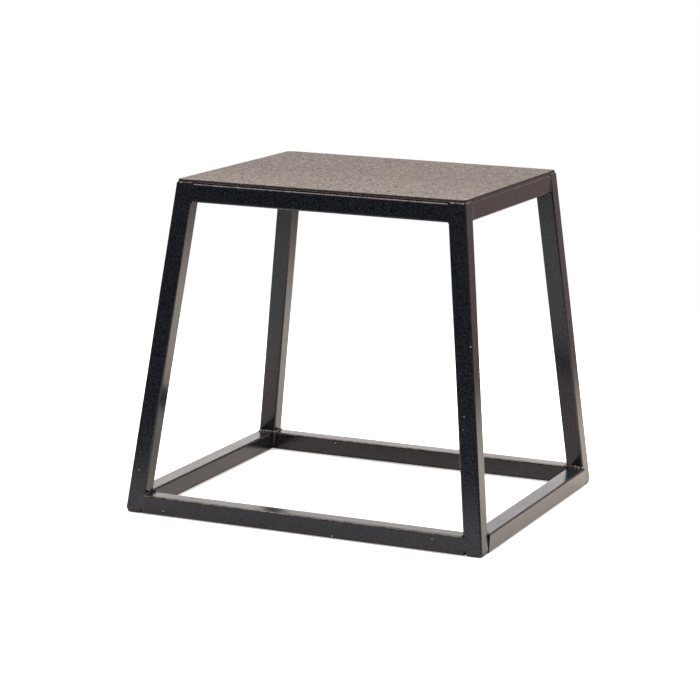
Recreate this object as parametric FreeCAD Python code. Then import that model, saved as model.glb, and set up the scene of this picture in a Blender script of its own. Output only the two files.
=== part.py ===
import FreeCAD, Part
import os

# Plyometric box: a welded frame of square steel tube that narrows upwards, a sheet-steel
# deck with a non-slip mat bonded on it, and plastic caps plugged into the leg ends.
# Millimetres. +Z is up, +X is to the right and +Y is away from the front.
# The origin is on the floor, below the middle of the box.

# Outer sizes of the frame
base_width = 512.0
base_depth = 444.0
top_width = 408.0
top_depth = 356.0
frame_height = 445.0

# Square tube of the legs and rails
tube_side = 25.0
tube_wall = 2.0
tube_corner = 2.5
tube_inner_corner = 0.5
base_rail_lift = 1.0

# Deck plate and mat
plate_thickness = 2.0
plate_inset = 1.2
plate_corner = 1.5
plate_edge_round = 0.4
mat_thickness = 3.0
mat_margin = 0.4
mat_corner = 5.0
mat_edge_round = 0.6

# Foot caps
cap_flange = 5.5
cap_clearance = 0.25
cap_corner = 6.0
cap_edge_round = 4.2
plug_depth = 16.0
plug_wall = 1.8
plug_clearance = 0.6
plug_corner = 0.6
rib_count = 3
rib_thickness = 1.2
rib_clearance = 0.1

# Welds
bead_radius = 4.4
bead_end_gap = 2.2
upright_foot_radius = 2.4
upright_head_radius = 4.0
seam_reach = 8.0
seam_root = 6.0
seam_depth = 3.5
seam_dip = 0.1
seam_end_gap = 2.0
tack_radius = 1.6
tack_length = 18.0

UP = FreeCAD.Vector(0, 0, 1)
SIDES = {"left": -1, "right": 1}
ENDS = {"front": -1, "rear": 1}
CORNERS = {f"{end}_{side}": (SIDES[side], ENDS[end]) for end in ENDS for side in SIDES}


def half_width(z):
    """Outer face of the legs at height z, from the middle, along X."""
    return (base_width + (top_width - base_width) * z / frame_height) / 2


def half_depth(z):
    """Outer face of the legs at height z, from the middle, along Y."""
    return (base_depth + (top_depth - base_depth) * z / frame_height) / 2


def rounded_rectangle(width, depth, corner):
    """Level face with round corners, centred on the origin."""
    flat_width = width - 2 * corner
    flat_depth = depth - 2 * corner
    start = FreeCAD.Vector(-flat_width / 2, -flat_depth / 2, 0)
    return Part.makePlane(flat_width, flat_depth, start).makeOffset2D(corner)


def slab(width, depth, corner, bottom, thickness):
    """Level sheet with round corners."""
    face = rounded_rectangle(width, depth, corner)
    face.translate(UP * bottom)
    return face.extrude(UP * thickness)


def leg_centre(corner, z):
    """Middle of a leg's level section at height z."""
    side, end = CORNERS[corner]
    half_tube = tube_side / 2
    return FreeCAD.Vector(side * (half_width(z) - half_tube), end * (half_depth(z) - half_tube), z)


def leaning_prism(corner, width, radius, bottom, top):
    """Square bar along the line of a leg, cut level at both ends."""
    start = leg_centre(corner, bottom)
    face = rounded_rectangle(width, width, radius)
    face.translate(start)
    return face.extrude(leg_centre(corner, top) - start)


def leg_bar(corner):
    """A leg's outer form, without its hollow."""
    return leaning_prism(corner, tube_side, tube_corner, cap_flange, frame_height)


def leg(corner):
    """Tube from the foot cap's flange to the underside of the deck plate."""
    inner_side = tube_side - 2 * tube_wall
    hollow = leaning_prism(corner, inner_side, tube_inner_corner, cap_flange, frame_height)
    return leg_bar(corner).cut(hollow)


def span_between_legs(place, bottom, top):
    """Block that fills the space between two legs, with ends on their inner faces."""
    across = place in ENDS
    half_span = half_width if across else half_depth
    low = half_span(bottom) - tube_side
    high = half_span(top) - tube_side
    profile = [(-low, bottom), (low, bottom), (high, top), (-high, top), (-low, bottom)]
    reach = max(base_width, base_depth)
    if across:
        points = [FreeCAD.Vector(along, -reach, z) for along, z in profile]
        direction = FreeCAD.Vector(0, 2 * reach, 0)
    else:
        points = [FreeCAD.Vector(-reach, along, z) for along, z in profile]
        direction = FreeCAD.Vector(2 * reach, 0, 0)
    return Part.Face(Part.makePolygon(points)).extrude(direction)


def rail_bottom(level):
    """Underside of the rails: just clear of the floor, or a tube below the leg tops."""
    return base_rail_lift if level == "base" else frame_height - tube_side


def rail_stock(level, place, width, radius):
    """Straight bar through the middle of a rail, longer than the rail.
    Base rails are flush with the legs at the floor, top rails at the top."""
    flush_height = 0 if level == "base" else frame_height
    reach = max(base_width, base_depth)
    middle_z = rail_bottom(level) + tube_side / 2
    face = rounded_rectangle(width, width, radius)
    if place in ENDS:
        offset = ENDS[place] * (half_depth(flush_height) - tube_side / 2)
        face.rotate(FreeCAD.Vector(), FreeCAD.Vector(0, 1, 0), 90)
        face.translate(FreeCAD.Vector(-reach / 2, offset, middle_z))
        return face.extrude(FreeCAD.Vector(reach, 0, 0))
    offset = SIDES[place] * (half_width(flush_height) - tube_side / 2)
    face.rotate(FreeCAD.Vector(), FreeCAD.Vector(1, 0, 0), 90)
    face.translate(FreeCAD.Vector(offset, -reach / 2, middle_z))
    return face.extrude(FreeCAD.Vector(0, reach, 0))


def rail_bar(level, place):
    """A rail's outer form between its legs, without its hollow."""
    bottom = rail_bottom(level)
    span = span_between_legs(place, bottom, bottom + tube_side)
    return rail_stock(level, place, tube_side, tube_corner).common(span)


def rail(level, place):
    """Tube between two legs. A side rail is notched where a cross rail passes behind the leg."""
    inner_side = tube_side - 2 * tube_wall
    shape = rail_bar(level, place).cut(rail_stock(level, place, inner_side, tube_inner_corner))
    if place in SIDES:
        shape = shape.cut([rail_bar(level, end) for end in ENDS])
    return shape


def ease_top(sheet, radius):
    """Rounds the edges of a level sheet's upper face."""
    top_face = max(sheet.Faces, key=lambda face: face.CenterOfMass.z)
    return sheet.makeFillet(radius, top_face.Edges)


def deck_plate():
    """Sheet on the rails and leg tops, set in so that their rounded edge shows."""
    width = top_width - 2 * plate_inset
    depth = top_depth - 2 * plate_inset
    plate = slab(width, depth, plate_corner, frame_height, plate_thickness)
    return ease_top(plate, plate_edge_round)


def grip_mat():
    """Mat bonded on the deck plate, with its upper edge eased."""
    inset = plate_inset + mat_margin
    bottom = frame_height + plate_thickness
    mat = slab(top_width - 2 * inset, top_depth - 2 * inset, mat_corner, bottom, mat_thickness)
    return ease_top(mat, mat_edge_round)


def foot_cap(corner):
    """Upright flange under the leg's end, and a hollow ribbed plug up inside the tube."""
    flange_side = tube_side - 2 * cap_clearance
    flange = slab(flange_side, flange_side, cap_corner, 0, cap_flange)
    seat = leg_centre(corner, cap_flange / 2)
    flange.translate(FreeCAD.Vector(seat.x, seat.y, 0))
    sole = min(flange.Faces, key=lambda face: face.CenterOfMass.z)
    flange = flange.makeFillet(cap_edge_round, sole.Edges)
    bore = tube_side - 2 * tube_wall
    plug_side = bore - 2 * plug_clearance
    plug_top = cap_flange + plug_depth
    plug = leaning_prism(corner, plug_side, plug_corner, cap_flange, plug_top)
    rib_pitch = plug_depth / rib_count
    ribs = []
    for index in range(rib_count):
        middle = cap_flange + rib_pitch * (index + 0.5)
        low = middle - rib_thickness / 2
        high = middle + rib_thickness / 2
        ribs.append(leaning_prism(corner, bore - 2 * rib_clearance, tube_inner_corner, low, high))
    core = leaning_prism(corner, plug_side - 2 * plug_wall, plug_corner, cap_flange, plug_top)
    return flange.fuse(plug.fuse(ribs).cut(core)).removeSplitter()


def bead(start, direction, radius, length, around):
    """Round weld bead centred on a corner line, trimmed by the bars it joins."""
    low_end = start - direction * (length / 2)
    return Part.makeCylinder(radius, length, low_end, direction).cut(around)


def ground_seam(level, corner, place):
    """Weld along the outer seam between a leg and a rail, ground to run from the face that stands
    out, the rail's at the base and the leg's at the top, down to the other one. Its ground face
    dips just below both."""
    side, end = CORNERS[corner]
    across = place in ENDS
    half_span, half_face = (half_width, half_depth) if across else (half_depth, half_width)
    at_base = level == "base"
    rail_face = half_face(0 if at_base else frame_height)
    on_leg = seam_reach if at_base else seam_root
    on_rail = 0 if at_base else seam_reach
    rail_top = rail_bottom(level) + tube_side
    bottom = max(rail_bottom(level), cap_flange) + seam_end_gap
    sections = []
    for z in (bottom, rail_top - seam_end_gap):
        seam = half_span(z) - tube_side
        outline = [
            (seam + on_leg, half_face(z) - seam_dip),
            (seam - on_rail, rail_face - seam_dip),
            (seam, min(half_face(z), rail_face) - seam_depth),
        ]
        places = outline if across else [(out, along) for along, out in outline]
        points = [FreeCAD.Vector(side * x, end * y, z) for x, y in places]
        sections.append(Part.makePolygon(points + points[:1]))
    return Part.makeLoft(sections, True, True).cut([leg_bar(corner), rail_bar(level, place)])


def ground_welds(level, corner):
    """The ground seam on the front or rear face and, at the top, the one on the side face too."""
    end_name, side_name = corner.split("_")
    places = [end_name] if level == "base" else [end_name, side_name]
    return Part.makeCompound([ground_seam(level, corner, place) for place in places])


def upright_bead(corner, around):
    """Weld bead up a leg's inner edge between two base rails, thicker where the leg leans further out."""
    side, end = CORNERS[corner]
    to_edge = FreeCAD.Vector(side * tube_side / 2, end * tube_side / 2, 0)
    foot = leg_centre(corner, cap_flange + seam_end_gap) - to_edge
    head = leg_centre(corner, rail_bottom("base") + tube_side) - to_edge
    rise = head - foot
    cone = Part.makeCone(upright_foot_radius, upright_head_radius, rise.Length, foot, rise)
    return cone.cut(around)


def corner_welds(level, corner):
    """Two beads where a leg's inner faces meet the rails, above the base rails or below the top ones.
    At the base a third one runs up the leg between the rails."""
    side, end = CORNERS[corner]
    end_name, side_name = corner.split("_")
    seam_z = rail_bottom(level) + (tube_side if level == "base" else 0)
    middle = leg_centre(corner, seam_z)
    to_face = tube_side / 2
    length = tube_side - 2 * bead_end_gap
    at_cross_rail = middle - FreeCAD.Vector(side * to_face, 0, 0)
    at_side_rail = middle - FreeCAD.Vector(0, end * to_face, 0)
    leg_form = leg_bar(corner)
    along_y = FreeCAD.Vector(0, 1, 0)
    along_x = FreeCAD.Vector(1, 0, 0)
    seams = ground_welds(level, corner).Solids
    cross_bars = [leg_form, rail_bar(level, end_name), *seams]
    side_bars = [leg_form, rail_bar(level, side_name), *seams]
    beads = [
        bead(at_cross_rail, along_y, bead_radius, length, cross_bars),
        bead(at_side_rail, along_x, bead_radius, length, side_bars),
    ]
    if level == "base":
        beads.append(upright_bead(corner, [*cross_bars, *side_bars, *beads]))
    return Part.makeCompound(beads)


def deck_tack_welds():
    """Short welds on the ledge outside the deck plate, along the outer edges of the leg tops."""
    plate_x = top_width / 2 - plate_inset
    plate_y = top_depth / 2 - plate_inset
    leg_x = (top_width - tube_side) / 2
    leg_y = (top_depth - tube_side) / 2
    tacks = []
    for corner, (side, end) in CORNERS.items():
        end_name, side_name = corner.split("_")
        around = [deck_plate(), leg_bar(corner), rail_bar("top", end_name), rail_bar("top", side_name)]
        on_cross = FreeCAD.Vector(side * leg_x, end * plate_y, frame_height)
        on_side = FreeCAD.Vector(side * plate_x, end * leg_y, frame_height)
        tacks.append(bead(on_cross, FreeCAD.Vector(1, 0, 0), tack_radius, tack_length, around))
        tacks.append(bead(on_side, FreeCAD.Vector(0, 1, 0), tack_radius, tack_length, around))
    return Part.makeCompound(tacks)


pieces = {"deck_plate": deck_plate(), "grip_mat": grip_mat(), "deck_tack_welds": deck_tack_welds()}
for corner in CORNERS:
    pieces[f"leg_{corner}"] = leg(corner)
    pieces[f"foot_cap_{corner}"] = foot_cap(corner)
for level in ("top", "base"):
    for place in (*ENDS, *SIDES):
        pieces[f"{level}_rail_{place}"] = rail(level, place)
    for corner in CORNERS:
        pieces[f"weld_{level}_{corner}"] = corner_welds(level, corner)
        pieces[f"ground_weld_{level}_{corner}"] = ground_welds(level, corner)

os.makedirs("parts", exist_ok=True)
for name, shape in pieces.items():
    shape.exportStep(f"parts/{name}.step")
    print(name, len(shape.Solids), "solids", round(shape.Volume / 1000, 2), "cm3", shape.isValid())
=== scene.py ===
import bpy
import math
import random
from mathutils import Matrix, Vector


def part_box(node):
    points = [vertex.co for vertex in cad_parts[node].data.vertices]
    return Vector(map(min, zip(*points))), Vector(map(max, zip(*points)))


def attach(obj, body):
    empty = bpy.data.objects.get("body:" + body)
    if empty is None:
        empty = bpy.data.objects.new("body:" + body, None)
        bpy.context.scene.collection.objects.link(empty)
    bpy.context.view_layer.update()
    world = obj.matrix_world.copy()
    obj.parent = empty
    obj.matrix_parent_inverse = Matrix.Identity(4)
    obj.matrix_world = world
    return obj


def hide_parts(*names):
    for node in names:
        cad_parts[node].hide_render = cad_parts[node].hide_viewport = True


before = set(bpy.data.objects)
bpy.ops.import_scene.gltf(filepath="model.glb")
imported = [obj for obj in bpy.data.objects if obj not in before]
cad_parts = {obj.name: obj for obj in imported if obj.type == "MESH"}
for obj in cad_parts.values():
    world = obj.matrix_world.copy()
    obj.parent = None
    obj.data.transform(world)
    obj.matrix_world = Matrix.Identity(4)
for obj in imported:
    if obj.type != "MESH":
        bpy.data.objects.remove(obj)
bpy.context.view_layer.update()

# Legs: four lengths of 25 mm square steel tube that lean inwards, cut level and welded to the rails.
# After welding, the whole frame is powder coated in satin black. The coat has a fine grain and a faint
# orange peel, is dulled by dust on top, worn along the edges, most on the front ones, and has some chips.
coat_colour = (0.0107, 0.0160, 0.0256)
brown_grain_colour = (0.0165, 0.0145, 0.0155)
# Edge colour: partly worn coat and partly a painted highlight on upper and front edges.
worn_and_lit_edge_colour = (0.145, 0.102, 0.077)
# Pale colour of chips in the coat, also used for the painted glints on the tacks.
chip_and_glint_colour = (0.34, 0.31, 0.25)
coat_ior = 1.43
coat_roughness = 0.13
coat_peel = 0.16
grain_scale = 560.0
grain_range = (0.36, 0.66)
grain_shades = (0.25, 1.9)
brown_grain_scale = 480.0
brown_grain_range = (0.40, 0.62)
brown_grain_shift = 0.37
wear_and_highlight_scale = 120.0
wear_and_highlight_range = (0.36, 0.62)
round_edge_range = (0.25, 0.48)
round_edge_wear_and_highlight = 0.06
front_edge_range = (-0.13, -0.32)
side_edge_range = (0.15, 0.40)
side_edge_wear_and_highlight = 0.25
speck_scale = 60.0
speck_range = (0.02, 0.04)
speck_strength = 0.25
smear_scale = 14.0
smear_range = (0.35, 0.70)
smear_roughness = 0.06
dust_range = (0.6, 0.95)
dust_roughness = 0.07
chip_roughness = 0.4
mark_core = 0.6
peel_scale = 420.0
peel_depth = 0.0001
coat_chips = (
    ((-0.2382, -0.2162, 0.0587), 0.0012),
    ((0.2195, -0.2044, 0.1779), 0.0010),
    ((0.2193, -0.2061, 0.1613), 0.0008),
    ((0.2228, -0.1956, 0.2672), 0.0014),
    ((-0.1988, -0.2220, 0.0081), 0.0014),
    ((0.1871, -0.2220, 0.0180), 0.0012),
    ((0.0478, -0.2216, 0.0045), 0.0012),
    ((-0.1299, 0.1970, 0.0205), 0.0014),
)


def add_node(tree, kind, **values):
    """Adds a shader node and sets its inputs by name, or its own properties."""
    node = tree.nodes.new(kind)
    for name, value in values.items():
        label = name.replace("_", " ")
        if label in node.inputs:
            node.inputs[label].default_value = value
        else:
            setattr(node, name, value)
    return node


def new_finish(name):
    """An empty finish with one shader and the piece's own coordinates."""
    finish = bpy.data.materials.new(name)
    finish.use_nodes = True
    tree = finish.node_tree
    tree.nodes.clear()
    output = tree.nodes.new("ShaderNodeOutputMaterial")
    shader = tree.nodes.new("ShaderNodeBsdfPrincipled")
    tree.links.new(shader.outputs["BSDF"], output.inputs["Surface"])
    place = tree.nodes.new("ShaderNodeTexCoord").outputs["Object"]
    return finish, tree, shader, place


def noise(tree, place, scale, detail=3.0, roughness=0.55):
    """Cloudy pattern over the piece, with about this many clouds per metre."""
    pattern = add_node(tree, "ShaderNodeTexNoise", Scale=scale, Detail=detail, Roughness=roughness)
    tree.links.new(place, pattern.inputs["Vector"])
    return pattern.outputs["Fac"]


def cells(tree, place, scale):
    """Pattern of small cells, with about this many per metre."""
    pattern = add_node(tree, "ShaderNodeTexVoronoi", Scale=scale)
    tree.links.new(place, pattern.inputs["Vector"])
    return pattern.outputs


def axes(tree, vector):
    """The X, Y and Z of a vector."""
    parts = tree.nodes.new("ShaderNodeSeparateXYZ")
    tree.links.new(vector, parts.inputs["Vector"])
    return parts.outputs


def spread(tree, value, low, high, out_low=0.0, out_high=1.0):
    """Stretches the range from low to high over the range from out_low to out_high, and stops there."""
    stretch = add_node(tree, "ShaderNodeMapRange")
    stretch.inputs["From Min"].default_value = low
    stretch.inputs["From Max"].default_value = high
    stretch.inputs["To Min"].default_value = out_low
    stretch.inputs["To Max"].default_value = out_high
    tree.links.new(value, stretch.inputs["Value"])
    return stretch.outputs["Result"]


def combine(tree, operation, first, second):
    """One number from two, each of them a socket or a plain value."""
    node = add_node(tree, "ShaderNodeMath", operation=operation)
    for socket, value in zip(node.inputs, (first, second)):
        if isinstance(value, (int, float)):
            socket.default_value = value
        else:
            tree.links.new(value, socket)
    return node.outputs["Value"]


def layer(tree, amount, under, over):
    """Puts one colour over another by an amount. A colour is a socket or three plain values."""
    node = add_node(tree, "ShaderNodeMix", data_type="RGBA")
    tree.links.new(amount, node.inputs["Factor"])
    colour_inputs = [socket for socket in node.inputs if socket.type == "RGBA"]
    for socket, colour in zip(colour_inputs, (under, over)):
        if isinstance(colour, tuple):
            socket.default_value = (*colour, 1)
        else:
            tree.links.new(colour, socket)
    return next(socket for socket in node.outputs if socket.type == "RGBA")


def shades(tree, value, colour, low, high, darkest, lightest):
    """Lighter and darker shades of one colour, by a pattern."""
    ramp = add_node(tree, "ShaderNodeValToRGB")
    for element, position, strength in zip(ramp.color_ramp.elements, (low, high), (darkest, lightest)):
        element.position = position
        element.color = [channel * strength for channel in colour] + [1]
    tree.links.new(value, ramp.inputs["Fac"])
    return ramp.outputs["Color"]


def shifted(tree, place, distance):
    """The same coordinates moved along, so that a second pattern differs from the first."""
    move = add_node(tree, "ShaderNodeVectorMath", operation="ADD")
    move.inputs[1].default_value = (distance, distance, distance)
    tree.links.new(place, move.inputs[0])
    return move.outputs["Vector"]


def times(tree, first, second):
    """One colour multiplied by another."""
    node = add_node(tree, "ShaderNodeVectorMath", operation="MULTIPLY")
    tree.links.new(first, node.inputs[0])
    tree.links.new(second, node.inputs[1])
    return node.outputs["Vector"]


def spots(tree, place, marks):
    """Small round marks at given places, each with its radius."""
    total = None
    for point, radius in marks:
        away = add_node(tree, "ShaderNodeVectorMath", operation="DISTANCE")
        away.inputs[1].default_value = point
        tree.links.new(place, away.inputs[0])
        mark = spread(tree, away.outputs["Value"], radius * mark_core, radius, 1.0, 0.0)
        total = mark if total is None else combine(tree, "MAXIMUM", total, mark)
    return total


def relief(tree, shader, height, strength, distance):
    """Raises and sinks the surface by a pattern, in metres."""
    bump = add_node(tree, "ShaderNodeBump", Strength=strength, Distance=distance)
    tree.links.new(height, bump.inputs["Height"])
    tree.links.new(bump.outputs["Normal"], shader.inputs["Normal"])


def edge_wear_and_highlight(tree, place):
    """Where the coat is rubbed, with a painted highlight on the same edges: patchily on round edges, more
    on upper ones, and most on the front ones.
    """
    facing = add_node(tree, "ShaderNodeTexCoord").outputs["Normal"]
    size = add_node(tree, "ShaderNodeVectorMath", operation="ABSOLUTE")
    tree.links.new(facing, size.inputs[0])
    sizes = axes(tree, size.outputs["Vector"])
    turned = add_node(tree, "ShaderNodeCombineXYZ")
    for source, target in (("Y", "X"), ("Z", "Y"), ("X", "Z")):
        tree.links.new(sizes[source], turned.inputs[target])
    between = add_node(tree, "ShaderNodeVectorMath", operation="DOT_PRODUCT")
    tree.links.new(size.outputs["Vector"], between.inputs[0])
    tree.links.new(turned.outputs["Vector"], between.inputs[1])
    round_edge = spread(tree, between.outputs["Value"], *round_edge_range, 0.0, round_edge_wear_and_highlight)
    signed = axes(tree, facing)
    front_and_up = combine(tree, "MULTIPLY", signed["Y"], signed["Z"])
    front_edge = spread(tree, front_and_up, *front_edge_range)
    side_and_up = combine(tree, "MULTIPLY", sizes["X"], signed["Z"])
    side_edge = spread(tree, side_and_up, *side_edge_range, 0.0, side_edge_wear_and_highlight)
    # Painted highlight mixed with wear: the pale edge colour goes most on edges that face up and to the
    # front.
    rubbed_and_lit = combine(tree, "MAXIMUM", combine(tree, "MAXIMUM", round_edge, side_edge), front_edge)
    patches = spread(tree, noise(tree, place, wear_and_highlight_scale, detail=5.0, roughness=0.7), *wear_and_highlight_range)
    return combine(tree, "MULTIPLY", rubbed_and_lit, patches)


def powder_coat(name, roughness, peel, chips_and_glints=()):
    """Satin black coat with its grain, orange peel, specks, dusty tops, worn edges with painted highlights,
    and marks at given places: chips on the frame, painted glints on the tacks.
    """
    finish, tree, shader, place = new_finish(name)
    shader.inputs["IOR"].default_value = coat_ior
    grain = noise(tree, place, grain_scale, detail=2.0, roughness=0.6)
    tone = shades(tree, grain, (1, 1, 1), *grain_range, *grain_shades)
    brown_place = shifted(tree, place, brown_grain_shift)
    brown_grain = noise(tree, brown_place, brown_grain_scale, detail=2.0, roughness=0.6)
    hue = layer(tree, spread(tree, brown_grain, *brown_grain_range), coat_colour, brown_grain_colour)
    # The pale edges are wear and painted highlight together.
    coat = layer(tree, edge_wear_and_highlight(tree, place), times(tree, tone, hue), worn_and_lit_edge_colour)
    marks = spread(tree, cells(tree, place, speck_scale)["Distance"], *speck_range, speck_strength, 0.0)
    if chips_and_glints:
        marks = combine(tree, "MAXIMUM", marks, spots(tree, place, chips_and_glints))
    tree.links.new(layer(tree, marks, coat, chip_and_glint_colour), shader.inputs["Base Color"])
    smears = noise(tree, place, smear_scale, detail=4.0)
    smeared = spread(tree, smears, *smear_range, roughness, roughness + smear_roughness)
    dull_marks = combine(tree, "MULTIPLY", marks, chip_roughness)
    facing = add_node(tree, "ShaderNodeTexCoord").outputs["Normal"]
    dust = spread(tree, axes(tree, facing)["Z"], *dust_range, 0.0, dust_roughness)
    dulled = combine(tree, "ADD", smeared, dull_marks)
    tree.links.new(combine(tree, "ADD", dulled, dust), shader.inputs["Roughness"])
    relief(tree, shader, noise(tree, place, peel_scale, detail=2.0), peel, peel_depth)
    return finish


def finish_node(name, finish):
    """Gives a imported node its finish."""
    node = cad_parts[name]
    if not node.material_slots:
        node.data.materials.append(finish)
    for slot in node.material_slots:
        slot.material = finish


corner_signs = {f"{end}_{side}": (side_sign, end_sign)
                for end, end_sign in (("front", -1), ("rear", 1))
                for side, side_sign in (("left", -1), ("right", 1))}
frame_coat = powder_coat("frame_coat", coat_roughness, coat_peel, coat_chips)
for corner in corner_signs:
    finish_node(f"leg_{corner}", frame_coat)

# Rails: eight lengths of the same tube, four flush with the leg tops and four just clear of the floor.
# They are cut to lie against the legs' inner faces, welded there, and coated together with the legs.
levels = ("top", "base")
for level in levels:
    for place_name in ("front", "rear", "left", "right"):
        finish_node(f"{level}_rail_{place_name}", frame_coat)

# Ground welds: the weld up the outer seams between legs and rails, filled and ground nearly flush.
# It is steel under the same coat, with a slightly rougher skin where the grinding disc ran.
ground_roughness = 0.17
ground_peel = 0.3
ground_coat = powder_coat("ground_coat", ground_roughness, ground_peel)
for level in levels:
    for corner in corner_signs:
        finish_node(f"ground_weld_{level}_{corner}", ground_coat)

# Weld beads: rippled fillets left as laid, where each leg's inner faces meet the rails, and a thin run of
# weld up each open side seam at the base. Each is a row of overlapping drops of steel, sunk into its
# corner, under a coat that has run a little glossier over them.
drop_pitch = 0.0052
drop_sizes = (0.88, 1.10)
drop_wander = 0.07
drop_segments = 16
drop_rings = 10
drop_seed = 7
melt_detail = 0.0005
settle_strength = 0.5
settle_rounds = 6
side_bead_radius = 0.0062
side_bead_sink = 0.0023
cross_bead_radius = 0.0044
cross_bead_sink = 0.0018
bead_start_share = 0.5
bead_finish_share = 0.35
bead_gap = 0.0012
bead_bite = 0.0005
ground_gap = 0.0003
upright_pitch = 0.0032
upright_foot_radius = 0.0024
upright_head_radius = 0.0040
seam_foot_radius = 0.0013
seam_head_radius = 0.0019
seam_sink = 0.0012
seam_pitch = 0.0022
seam_end_drop = 0.0020
weld_crease = math.radians(50)
weld_roughness = 0.10
weld_peel = 0.5
leg_low, leg_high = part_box("leg_front_right")
base_rail_low, base_rail_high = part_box("base_rail_front")
tube_side = base_rail_high.z - base_rail_low.z
leg_length = leg_high.z - leg_low.z
lean_x = (leg_high.x - tube_side - leg_low.x) / leg_length
lean_y = (-leg_low.y - tube_side + leg_high.y) / leg_length
drop_luck = random.Random(drop_seed)


def leg_inner(z):
    """How far from the middle a leg's two inner faces are at height z, along X and along Y."""
    drop = leg_high.z - z
    return leg_low.x + lean_x * drop, -leg_high.y + lean_y * drop


def lay_bead(start, finish, start_radius, finish_radius, pitch):
    """Lays drops of weld along a line and melts them together."""
    count = max(2, round((finish - start).length / pitch) + 1)
    bpy.ops.object.select_all(action="DESELECT")
    for index in range(count):
        share = index / (count - 1)
        radius = (start_radius + (finish_radius - start_radius) * share) * drop_luck.uniform(*drop_sizes)
        wander = Vector([drop_luck.uniform(-drop_wander, drop_wander) * radius for _ in range(3)])
        bpy.ops.mesh.primitive_uv_sphere_add(segments=drop_segments, ring_count=drop_rings, radius=radius,
                                             location=start.lerp(finish, share) + wander)
        if index == 0:
            bead = bpy.context.object
            bpy.ops.object.transform_apply(location=True, rotation=False, scale=False)
            bpy.ops.object.mode_set(mode="EDIT")
    bpy.ops.object.mode_set(mode="OBJECT")
    melt = bead.modifiers.new("melt", "REMESH")
    melt.mode = "VOXEL"
    melt.voxel_size = melt_detail
    bpy.ops.object.modifier_apply(modifier="melt")
    settle = bead.modifiers.new("settle", "SMOOTH")
    settle.factor = settle_strength
    settle.iterations = settle_rounds
    bpy.ops.object.modifier_apply(modifier="settle")
    return bead


def trim(piece, planes):
    """Cuts away what lies beyond each plane, given by a point on it and the direction that goes."""
    bpy.ops.object.select_all(action="DESELECT")
    piece.select_set(True)
    bpy.context.view_layer.objects.active = piece
    bpy.ops.object.mode_set(mode="EDIT")
    for point, direction in planes:
        bpy.ops.mesh.select_all(action="SELECT")
        bpy.ops.mesh.bisect(plane_co=point, plane_no=direction, use_fill=True, clear_outer=True)
    bpy.ops.object.mode_set(mode="OBJECT")


def lay_fillet(start, finish, into_rail, into_leg, radius, sink):
    """A bead along the corner between a rail and a leg, sunk into both so that its face is nearly flat.
    Its finish is ground off with the outer faces."""
    sunk = sink * (into_rail + into_leg)
    room = math.sqrt(radius ** 2 - 2 * sink ** 2)
    along = (finish - start).normalized()
    first_drop = start + bead_start_share * room * along + sunk
    last_drop = finish - bead_finish_share * room * along + sunk
    bead = lay_bead(first_drop, last_drop, radius, radius, drop_pitch)
    trim(bead, [(start + bead_bite * into_rail, into_rail),
                (start + bead_bite * into_leg, into_leg),
                (finish, along)])
    return bead


def join_pieces(name, pieces):
    """One object from several, with smooth faces and sharp cut edges."""
    bpy.ops.object.select_all(action="DESELECT")
    for piece in pieces:
        piece.select_set(True)
    bpy.context.view_layer.objects.active = pieces[0]
    bpy.ops.object.join()
    bpy.ops.object.shade_smooth_by_angle(angle=weld_crease)
    pieces[0].name = name
    pieces[0].data.name = name
    return pieces[0]


def rail_beads(level, side, end):
    """The two fillets of one corner: on the front or rear rail, and on the side rail."""
    cross_low, cross_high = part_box(f"{level}_rail_front")
    side_low, side_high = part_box(f"{level}_rail_right")
    at_base = level == "base"
    seam_z = cross_high.z if at_base else cross_low.z
    inner_x, inner_y = leg_inner(seam_z)
    near_x = max(inner_x, side_low.x) + bead_gap
    near_y = max(inner_y, -cross_high.y) + bead_gap
    outer_x = min(inner_x + tube_side, side_high.x) - ground_gap
    outer_y = min(inner_y + tube_side, -cross_low.y) - ground_gap
    into_rail = Vector((0, 0, -1 if at_base else 1))
    into_leg_x = Vector((side, 0, lean_x)).normalized()
    into_leg_y = Vector((0, end, lean_y)).normalized()
    on_cross_rail = lay_fillet(Vector((side * inner_x, end * near_y, seam_z)),
                               Vector((side * inner_x, end * outer_y, seam_z)),
                               into_rail, into_leg_x, cross_bead_radius, cross_bead_sink)
    on_side_rail = lay_fillet(Vector((side * near_x, end * inner_y, seam_z)),
                              Vector((side * outer_x, end * inner_y, seam_z)),
                              into_rail, into_leg_y, side_bead_radius, side_bead_sink)
    return [on_cross_rail, on_side_rail]


def upright_beads(side, end):
    """The welds up one foot: on the leg's inner edge, in the side seam, and at the other seam's head."""
    head_z = base_rail_high.z
    foot_z = leg_low.z + 2 * bead_gap

    def inner_edge(z, height):
        """The point at this height above where the leg's inner edge is at z."""
        inner_x, inner_y = leg_inner(z)
        return Vector((side * inner_x, end * inner_y, height))

    to_side_seam = Vector((side * (tube_side - seam_sink), end * seam_sink, 0))
    to_cross_seam = Vector((side * seam_sink, end * tube_side, 0))
    on_inner_edge = lay_bead(inner_edge(foot_z, foot_z), inner_edge(head_z, head_z),
                             upright_foot_radius, upright_head_radius, upright_pitch)
    in_side_seam = lay_bead(inner_edge(foot_z, foot_z) + to_side_seam,
                            inner_edge(head_z, head_z - bead_gap) + to_side_seam,
                            seam_foot_radius, seam_head_radius, seam_pitch)
    at_seam_head = lay_bead(inner_edge(head_z, head_z - 2 * seam_end_drop) + to_cross_seam,
                            inner_edge(head_z, head_z - seam_end_drop) + to_cross_seam,
                            seam_head_radius, seam_head_radius, seam_pitch)
    return [on_inner_edge, in_side_seam, at_seam_head]


weld_coat = powder_coat("weld_coat", weld_roughness, weld_peel)
for level in levels:
    for corner, (side, end) in corner_signs.items():
        beads = rail_beads(level, side, end)
        if level == "base":
            beads += upright_beads(side, end)
        beads = join_pieces(f"beads_{level}_{corner}", beads)
        beads.data.materials.append(weld_coat)
        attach(beads, "root")
        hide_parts(f"weld_{level}_{corner}")

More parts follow.
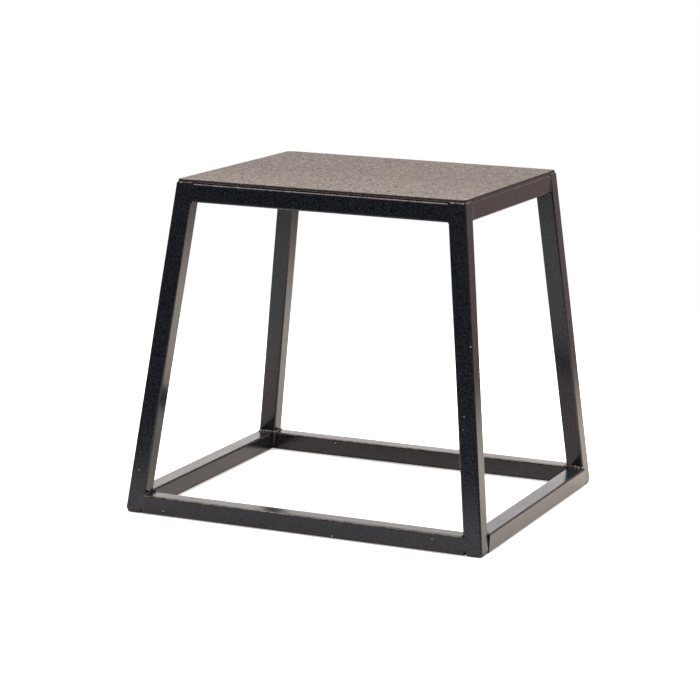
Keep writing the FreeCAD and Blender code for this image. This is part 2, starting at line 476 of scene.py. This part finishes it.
# Foot caps: black moulded plastic caps with rounded soles, plugged up into the legs' open ends.
# The plastic has the fine matt grain of its mould, and is scuffed grey where it stands on the floor.
cap_colour = (0.011, 0.011, 0.012)
cap_scuff_colour = (0.060, 0.055, 0.050)
cap_ior = 1.48
cap_roughness = (0.38, 0.55)
cap_dull_scale = 70.0
cap_dull_range = (0.35, 0.70)
cap_tone_scale = 900.0
cap_tone_range = (0.30, 0.75)
cap_shades = (0.7, 1.5)
cap_scuff_reach = 0.7
cap_scuff_strength = 0.8
cap_scuff_scale = 260.0
cap_scuff_range = (0.45, 0.62)
cap_grain_scale = 1100.0
cap_grain_strength = 0.4
cap_grain_depth = 0.0001
cap_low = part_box("foot_cap_front_left")[0]
cap_plastic, tree, shader, place = new_finish("cap_plastic")
shader.inputs["IOR"].default_value = cap_ior
plastic = shades(tree, noise(tree, place, cap_tone_scale), cap_colour, *cap_tone_range, *cap_shades)
scuff_top = leg_low.z * cap_scuff_reach
near_floor = spread(tree, axes(tree, place)["Z"], cap_low.z, scuff_top, cap_scuff_strength, 0.0)
scuffs = spread(tree, noise(tree, place, cap_scuff_scale, detail=5.0, roughness=0.7), *cap_scuff_range)
plastic = layer(tree, combine(tree, "MULTIPLY", near_floor, scuffs), plastic, cap_scuff_colour)
tree.links.new(plastic, shader.inputs["Base Color"])
dulling = spread(tree, noise(tree, place, cap_dull_scale), *cap_dull_range, *cap_roughness)
tree.links.new(dulling, shader.inputs["Roughness"])
relief(tree, shader, noise(tree, place, cap_grain_scale, detail=2.0), cap_grain_strength, cap_grain_depth)
for corner in corner_signs:
    finish_node(f"foot_cap_{corner}", cap_plastic)

# Deck plate: 2 mm sheet steel on the rails and leg tops, with its sheared edge just inside theirs.
# It is coated with the frame, so that only its thin edge and its underside show.
deck_roughness = 0.18
deck_peel = 0.25
deck_coat = powder_coat("deck_coat", deck_roughness, deck_peel)
finish_node("deck_plate", deck_coat)

# Deck tacks: short welds on the ledge outside the deck plate, along the outer edges of the leg tops.
# They are small drops of steel holding the plate down, under the beads' glossy coat, with three painted
# glints on the front ones.
tack_radius = 0.0015
tack_reach = 0.0088
tack_pitch = 0.0030
# Painted highlight: three small pale glints painted on the front tacks.
glint_places = (-0.198, 0.186, 0.201)
glint_radius = 0.0021
glint_out = 0.0012
glint_up = 0.0009
plate_low, plate_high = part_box("deck_plate")
leg_top_x, leg_top_y = (inner + tube_side / 2 for inner in leg_inner(leg_high.z))
tacks = []
for side, end in corner_signs.values():
    on_front = Vector((side * leg_top_x, end * plate_high.y, plate_low.z))
    on_side = Vector((side * plate_high.x, end * leg_top_y, plate_low.z))
    for middle, along in ((on_front, Vector((tack_reach, 0, 0))), (on_side, Vector((0, tack_reach, 0)))):
        tacks.append(lay_bead(middle - along, middle + along, tack_radius, tack_radius, tack_pitch))
tacks = join_pieces("deck_tacks", tacks)
glint_y = plate_low.y - glint_out
glint_z = plate_low.z + glint_up
painted_glints = [((x, glint_y, glint_z), glint_radius) for x in glint_places]
tack_coat = powder_coat("tack_coat", weld_roughness, weld_peel, painted_glints)
tacks.data.materials.append(tack_coat)
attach(tacks, "root")
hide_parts("deck_tack_welds")

# Grip mat: a 3 mm sheet of pressed rubber crumb, cut by hand and bonded over the whole deck.
# Its face is a brown and grey crumb speckle, paler towards the front; its cut edge is dark, two corners are
# rounder than the others, and its front edge is nicked in three places.
mat_colour = (0.0721, 0.0599, 0.0549)
warm_crumb_colour = (0.0937, 0.0599, 0.0373)
cool_crumb_colour = (0.0620, 0.0599, 0.0670)
mat_edge_colour = (0.025, 0.0185, 0.0175)
mat_nick_colour = (0.15, 0.12, 0.10)
mat_cell = 0.004
mat_corner_radii = {"front_left": 0.003, "front_right": 0.009, "rear_left": 0.008, "rear_right": 0.003}
mat_corner_cuts = 7
mat_edge_round = 0.0006
mat_edge_steps = 2
mat_wave_depth = 0.0003
mat_wave_width = 0.03
mat_crease = math.radians(35)
face_tolerance = 1e-5
upright_limit = 0.5
mat_ior = 1.4
mat_roughness = 0.85
crumb_scale = 340.0
cluster_scale = 260.0
crumb_share = 0.5
crumb_range = (0.30, 0.70)
crumb_shades = (0.32, 1.68)
warm_crumb_range = (0.62, 0.80)
warm_crumb_strength = 0.7
cool_crumb_range = (0.70, 0.88)
cool_crumb_strength = 0.6
crumb_relief = 0.5
crumb_height = 0.0003
pale_edge_scale = 9.0
pale_edge_range = (0.3, 0.7)
pale_edge_wander = 0.03
front_paleness = 1.28
cut_edge_range = (0.35, 0.8)
nick_places = (-0.1105, -0.0739, -0.0029)
nick_radius = 0.0014
mat_low, mat_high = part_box("grip_mat")
mat_size = mat_high - mat_low
bpy.ops.object.select_all(action="DESELECT")
bpy.ops.mesh.primitive_grid_add(x_subdivisions=round(mat_size.x / mat_cell),
                                y_subdivisions=round(mat_size.y / mat_cell), size=1)
mat = bpy.context.object
mat.name = "mat"
mat.data.name = "mat"
bpy.ops.transform.resize(value=(mat_size.x, mat_size.y, 1))
bpy.ops.transform.translate(value=(0, 0, mat_high.z))
bpy.ops.object.transform_apply(location=True, rotation=False, scale=True)
bpy.ops.object.mode_set(mode="EDIT")
for corner, radius in mat_corner_radii.items():
    side, end = corner_signs[corner]
    centre = Vector((side * (mat_high.x - radius), end * (mat_high.y - radius), mat_high.z))
    for cut in range(mat_corner_cuts):
        turn = math.radians(90) * (cut + 0.5) / mat_corner_cuts
        outwards = Vector((side * math.cos(turn), end * math.sin(turn), 0))
        bpy.ops.mesh.select_all(action="SELECT")
        bpy.ops.mesh.bisect(plane_co=centre + radius * outwards, plane_no=outwards, clear_outer=True)
bpy.ops.object.mode_set(mode="OBJECT")
sheet = mat.modifiers.new("sheet", "SOLIDIFY")
sheet.thickness = mat_size.z
sheet.offset = -1
bpy.ops.object.modifier_apply(modifier="sheet")
bpy.ops.object.mode_set(mode="EDIT")
bpy.ops.mesh.select_mode(type="EDGE")
bpy.ops.mesh.select_all(action="DESELECT")
bpy.ops.object.mode_set(mode="OBJECT")
rim_edges = set()
for face in mat.data.polygons:
    if abs(face.normal.z) < upright_limit:
        rim_edges.update(face.edge_keys)
mat_middle_z = mat_high.z - mat_size.z / 2
for edge in mat.data.edges:
    on_top = all(mat.data.vertices[index].co.z > mat_middle_z for index in edge.vertices)
    edge.select = on_top and edge.key in rim_edges
bpy.ops.object.mode_set(mode="EDIT")
bpy.ops.mesh.bevel(offset=mat_edge_round, segments=mat_edge_steps, affect="EDGES")
bpy.ops.object.mode_set(mode="OBJECT")
face_group = mat.vertex_groups.new(name="face")
face_points = [vertex.index for vertex in mat.data.vertices if vertex.co.z > mat_high.z - face_tolerance]
face_group.add(face_points, 1.0, "REPLACE")
uneven = bpy.data.textures.new("uneven", "CLOUDS")
uneven.noise_scale = mat_wave_width
wave = mat.modifiers.new("wave", "DISPLACE")
wave.texture = uneven
wave.texture_coords = "LOCAL"
wave.direction = "Z"
wave.vertex_group = "face"
wave.mid_level = 1.0
wave.strength = mat_wave_depth
bpy.ops.object.modifier_apply(modifier="wave")
bpy.ops.object.shade_smooth_by_angle(angle=mat_crease)

mat_rubber, tree, shader, place = new_finish("mat_rubber")
shader.inputs["IOR"].default_value = mat_ior
shader.inputs["Roughness"].default_value = mat_roughness
crumbs = cells(tree, place, crumb_scale)
crumb_tone = add_node(tree, "ShaderNodeSeparateColor")
tree.links.new(crumbs["Color"], crumb_tone.inputs["Color"])
clusters = noise(tree, place, cluster_scale, detail=4.0, roughness=0.65)
tone = combine(tree, "ADD", combine(tree, "MULTIPLY", crumb_tone.outputs["Red"], crumb_share),
               combine(tree, "MULTIPLY", clusters, 1 - crumb_share))
rubber = shades(tree, tone, mat_colour, *crumb_range, *crumb_shades)
warm_crumb = spread(tree, crumb_tone.outputs["Green"], *warm_crumb_range, 0.0, warm_crumb_strength)
rubber = layer(tree, warm_crumb, rubber, warm_crumb_colour)
cool_crumb = spread(tree, crumb_tone.outputs["Blue"], *cool_crumb_range, 0.0, cool_crumb_strength)
rubber = layer(tree, cool_crumb, rubber, cool_crumb_colour)
# Paler towards the front, up to a wandering line.
pale_edge = spread(tree, noise(tree, place, pale_edge_scale), *pale_edge_range, -pale_edge_wander, pale_edge_wander)
pale_line = combine(tree, "ADD", axes(tree, place)["Y"], pale_edge)
paler = add_node(tree, "ShaderNodeVectorMath", operation="SCALE")
tree.links.new(rubber, paler.inputs["Vector"])
tree.links.new(spread(tree, pale_line, mat_low.y, 0.0, front_paleness, 1.0), paler.inputs["Scale"])
facing = add_node(tree, "ShaderNodeTexCoord").outputs["Normal"]
cut_edge = spread(tree, axes(tree, facing)["Z"], *cut_edge_range, 1.0, 0.0)
rubber = layer(tree, cut_edge, paler.outputs["Vector"], mat_edge_colour)
nicks = spots(tree, place, [((x, mat_low.y, mat_high.z), nick_radius) for x in nick_places])
tree.links.new(layer(tree, nicks, rubber, mat_nick_colour), shader.inputs["Base Color"])
relief(tree, shader, crumbs["Distance"], crumb_relief, crumb_height)
mat.data.materials.append(mat_rubber)
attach(mat, "root")
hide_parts("grip_mat")

# Camera: a long lens from about 3.5 m away, a little above the deck and to the right of the box.
# It is aimed slightly off the middle of the box and rolled by one degree.
camera_azimuth = math.radians(22.989)
camera_elevation = math.radians(11.327)
camera_roll = math.radians(1.074)
camera_distance = 3.5452
camera_aim_height = 0.225
camera_aim_right = -0.02386
camera_aim_up = -0.01773
focal_pixels = 2591
image_pixels = 700
camera_reach = 50
camera_data = bpy.data.cameras.new("camera")
camera_data.lens = focal_pixels / image_pixels * camera_data.sensor_width
camera_data.clip_end = camera_reach
camera = bpy.data.objects.new("camera", camera_data)
bpy.context.scene.collection.objects.link(camera)
back = Vector((
    math.sin(camera_azimuth) * math.cos(camera_elevation),
    -math.cos(camera_azimuth) * math.cos(camera_elevation),
    math.sin(camera_elevation),
))
right = Vector((math.cos(camera_azimuth), math.sin(camera_azimuth), 0))
up = back.cross(right)
aim = Vector((0, 0, camera_aim_height)) + camera_aim_right * right + camera_aim_up * up
eye = aim + camera_distance * back
level_view = Matrix((right, up, back)).transposed()
turned_view = level_view @ Matrix.Rotation(camera_roll, 3, "Z")
camera.matrix_world = Matrix.Translation(eye) @ turned_view.to_4x4()
bpy.context.scene.camera = camera

# Studio floor: a pale warm floor that fades out into white, with painted shade in front of the box, where
# it is a little cooler and darker.
# It glows slightly for the camera alone, so that it runs into the white round it.
floor_radius = 1.65
floor_sides = 96
floor_colour = (0.88, 0.79, 0.72)
shaded_front_floor_colour = (0.63, 0.645, 0.675)
front_floor_shade_range = (-0.34, -0.16)
floor_fade = (0.55, 0.98)
floor_roughness = 0.9
floor_specular = 0.2
floor_glow = 0.5
white = (1, 1, 1, 1)
bpy.ops.object.select_all(action="DESELECT")
bpy.ops.mesh.primitive_circle_add(vertices=floor_sides, radius=floor_radius, fill_type="NGON")
floor = bpy.context.object
floor.name = "floor"
floor_finish, tree, shader, place = new_finish("floor")
# Painted shade: the floor turns cooler and darker in front of the box.
towards_back = spread(tree, axes(tree, place)["Y"], *front_floor_shade_range)
tree.links.new(layer(tree, towards_back, shaded_front_floor_colour, floor_colour), shader.inputs["Base Color"])
shader.inputs["Roughness"].default_value = floor_roughness
shader.inputs["Specular IOR Level"].default_value = floor_specular
from_middle = add_node(tree, "ShaderNodeVectorMath", operation="LENGTH")
tree.links.new(place, from_middle.inputs[0])
fade_start, fade_end = (floor_radius * share for share in floor_fade)
fade = spread(tree, from_middle.outputs["Value"], fade_start, fade_end, 1.0, 0.0)
tree.links.new(fade, shader.inputs["Alpha"])
seen_by_camera = tree.nodes.new("ShaderNodeLightPath").outputs["Is Camera Ray"]
shader.inputs["Emission Color"].default_value = white
tree.links.new(combine(tree, "MULTIPLY", seen_by_camera, floor_glow), shader.inputs["Emission Strength"])
floor.data.materials.append(floor_finish)

# Studio walls: white to the camera. Surfaces see a bright band low at the back, a warm dim corner at the
# back right and a dark front. A band is its height, from straight down to straight up, and its brightness.
wall_ends = ((0.0, 0.10), (1.0, 0.12))
wall_bands = ((0.40, 0.15), (0.46, 0.15), (0.51, 0.30), (0.540, 0.95), (0.632, 0.95), (0.665, 0.12))
wall_tint = (1.0, 0.945, 0.932)
corner_colour = (0.215, 0.150, 0.138)
corner_range = (0.02, 0.25)
back_range = (-0.3, 0.6)
back_strength = (0.1, 2.2)
world = bpy.data.worlds.new("studio")
bpy.context.scene.world = world
world.use_nodes = True
tree = world.node_tree
tree.nodes.clear()
output = tree.nodes.new("ShaderNodeOutputWorld")
direction = axes(tree, tree.nodes.new("ShaderNodeTexCoord").outputs["Generated"])
wall = add_node(tree, "ShaderNodeValToRGB")
bands = wall.color_ramp.elements
for band, (height, brightness) in zip(bands, wall_ends):
    band.position = height
    band.color = [brightness * channel for channel in wall_tint] + [1]
for height, brightness in wall_bands:
    bands.new(height).color = [brightness * channel for channel in wall_tint] + [1]
tree.links.new(spread(tree, direction["Z"], -1.0, 1.0), wall.inputs["Fac"])
to_the_right = spread(tree, direction["X"], *corner_range)
wall_colour = layer(tree, to_the_right, wall.outputs["Color"], corner_colour)
wall_strength = spread(tree, direction["Y"], *back_range, *back_strength)
seen_by_surfaces = tree.nodes.new("ShaderNodeBackground")
tree.links.new(wall_colour, seen_by_surfaces.inputs["Color"])
tree.links.new(wall_strength, seen_by_surfaces.inputs["Strength"])
seen_directly = tree.nodes.new("ShaderNodeBackground")
seen_directly.inputs["Color"].default_value = white
choice = tree.nodes.new("ShaderNodeMixShader")
tree.links.new(tree.nodes.new("ShaderNodeLightPath").outputs["Is Camera Ray"], choice.inputs["Fac"])
tree.links.new(seen_by_surfaces.outputs["Background"], choice.inputs[1])
tree.links.new(seen_directly.outputs["Background"], choice.inputs[2])
tree.links.new(choice.outputs["Shader"], output.inputs["Surface"])

# Studio light: one wide soft light overhead that faces straight down. It lights the mat and the floor,
# and the camera doesn't see it.
light_place = (0.2, 0.2, 2.5)
light_side = 3.2
light_power = 210
light_colour = (1.0, 0.98, 0.95)
light_data = bpy.data.lights.new("overhead", "AREA")
light_data.shape = "SQUARE"
light_data.size = light_side
light_data.energy = light_power
light_data.color = light_colour
light = bpy.data.objects.new("overhead", light_data)
bpy.context.scene.collection.objects.link(light)
light.location = light_place
light.visible_camera = False
bpy.context.scene.view_settings.view_transform = "Standard"
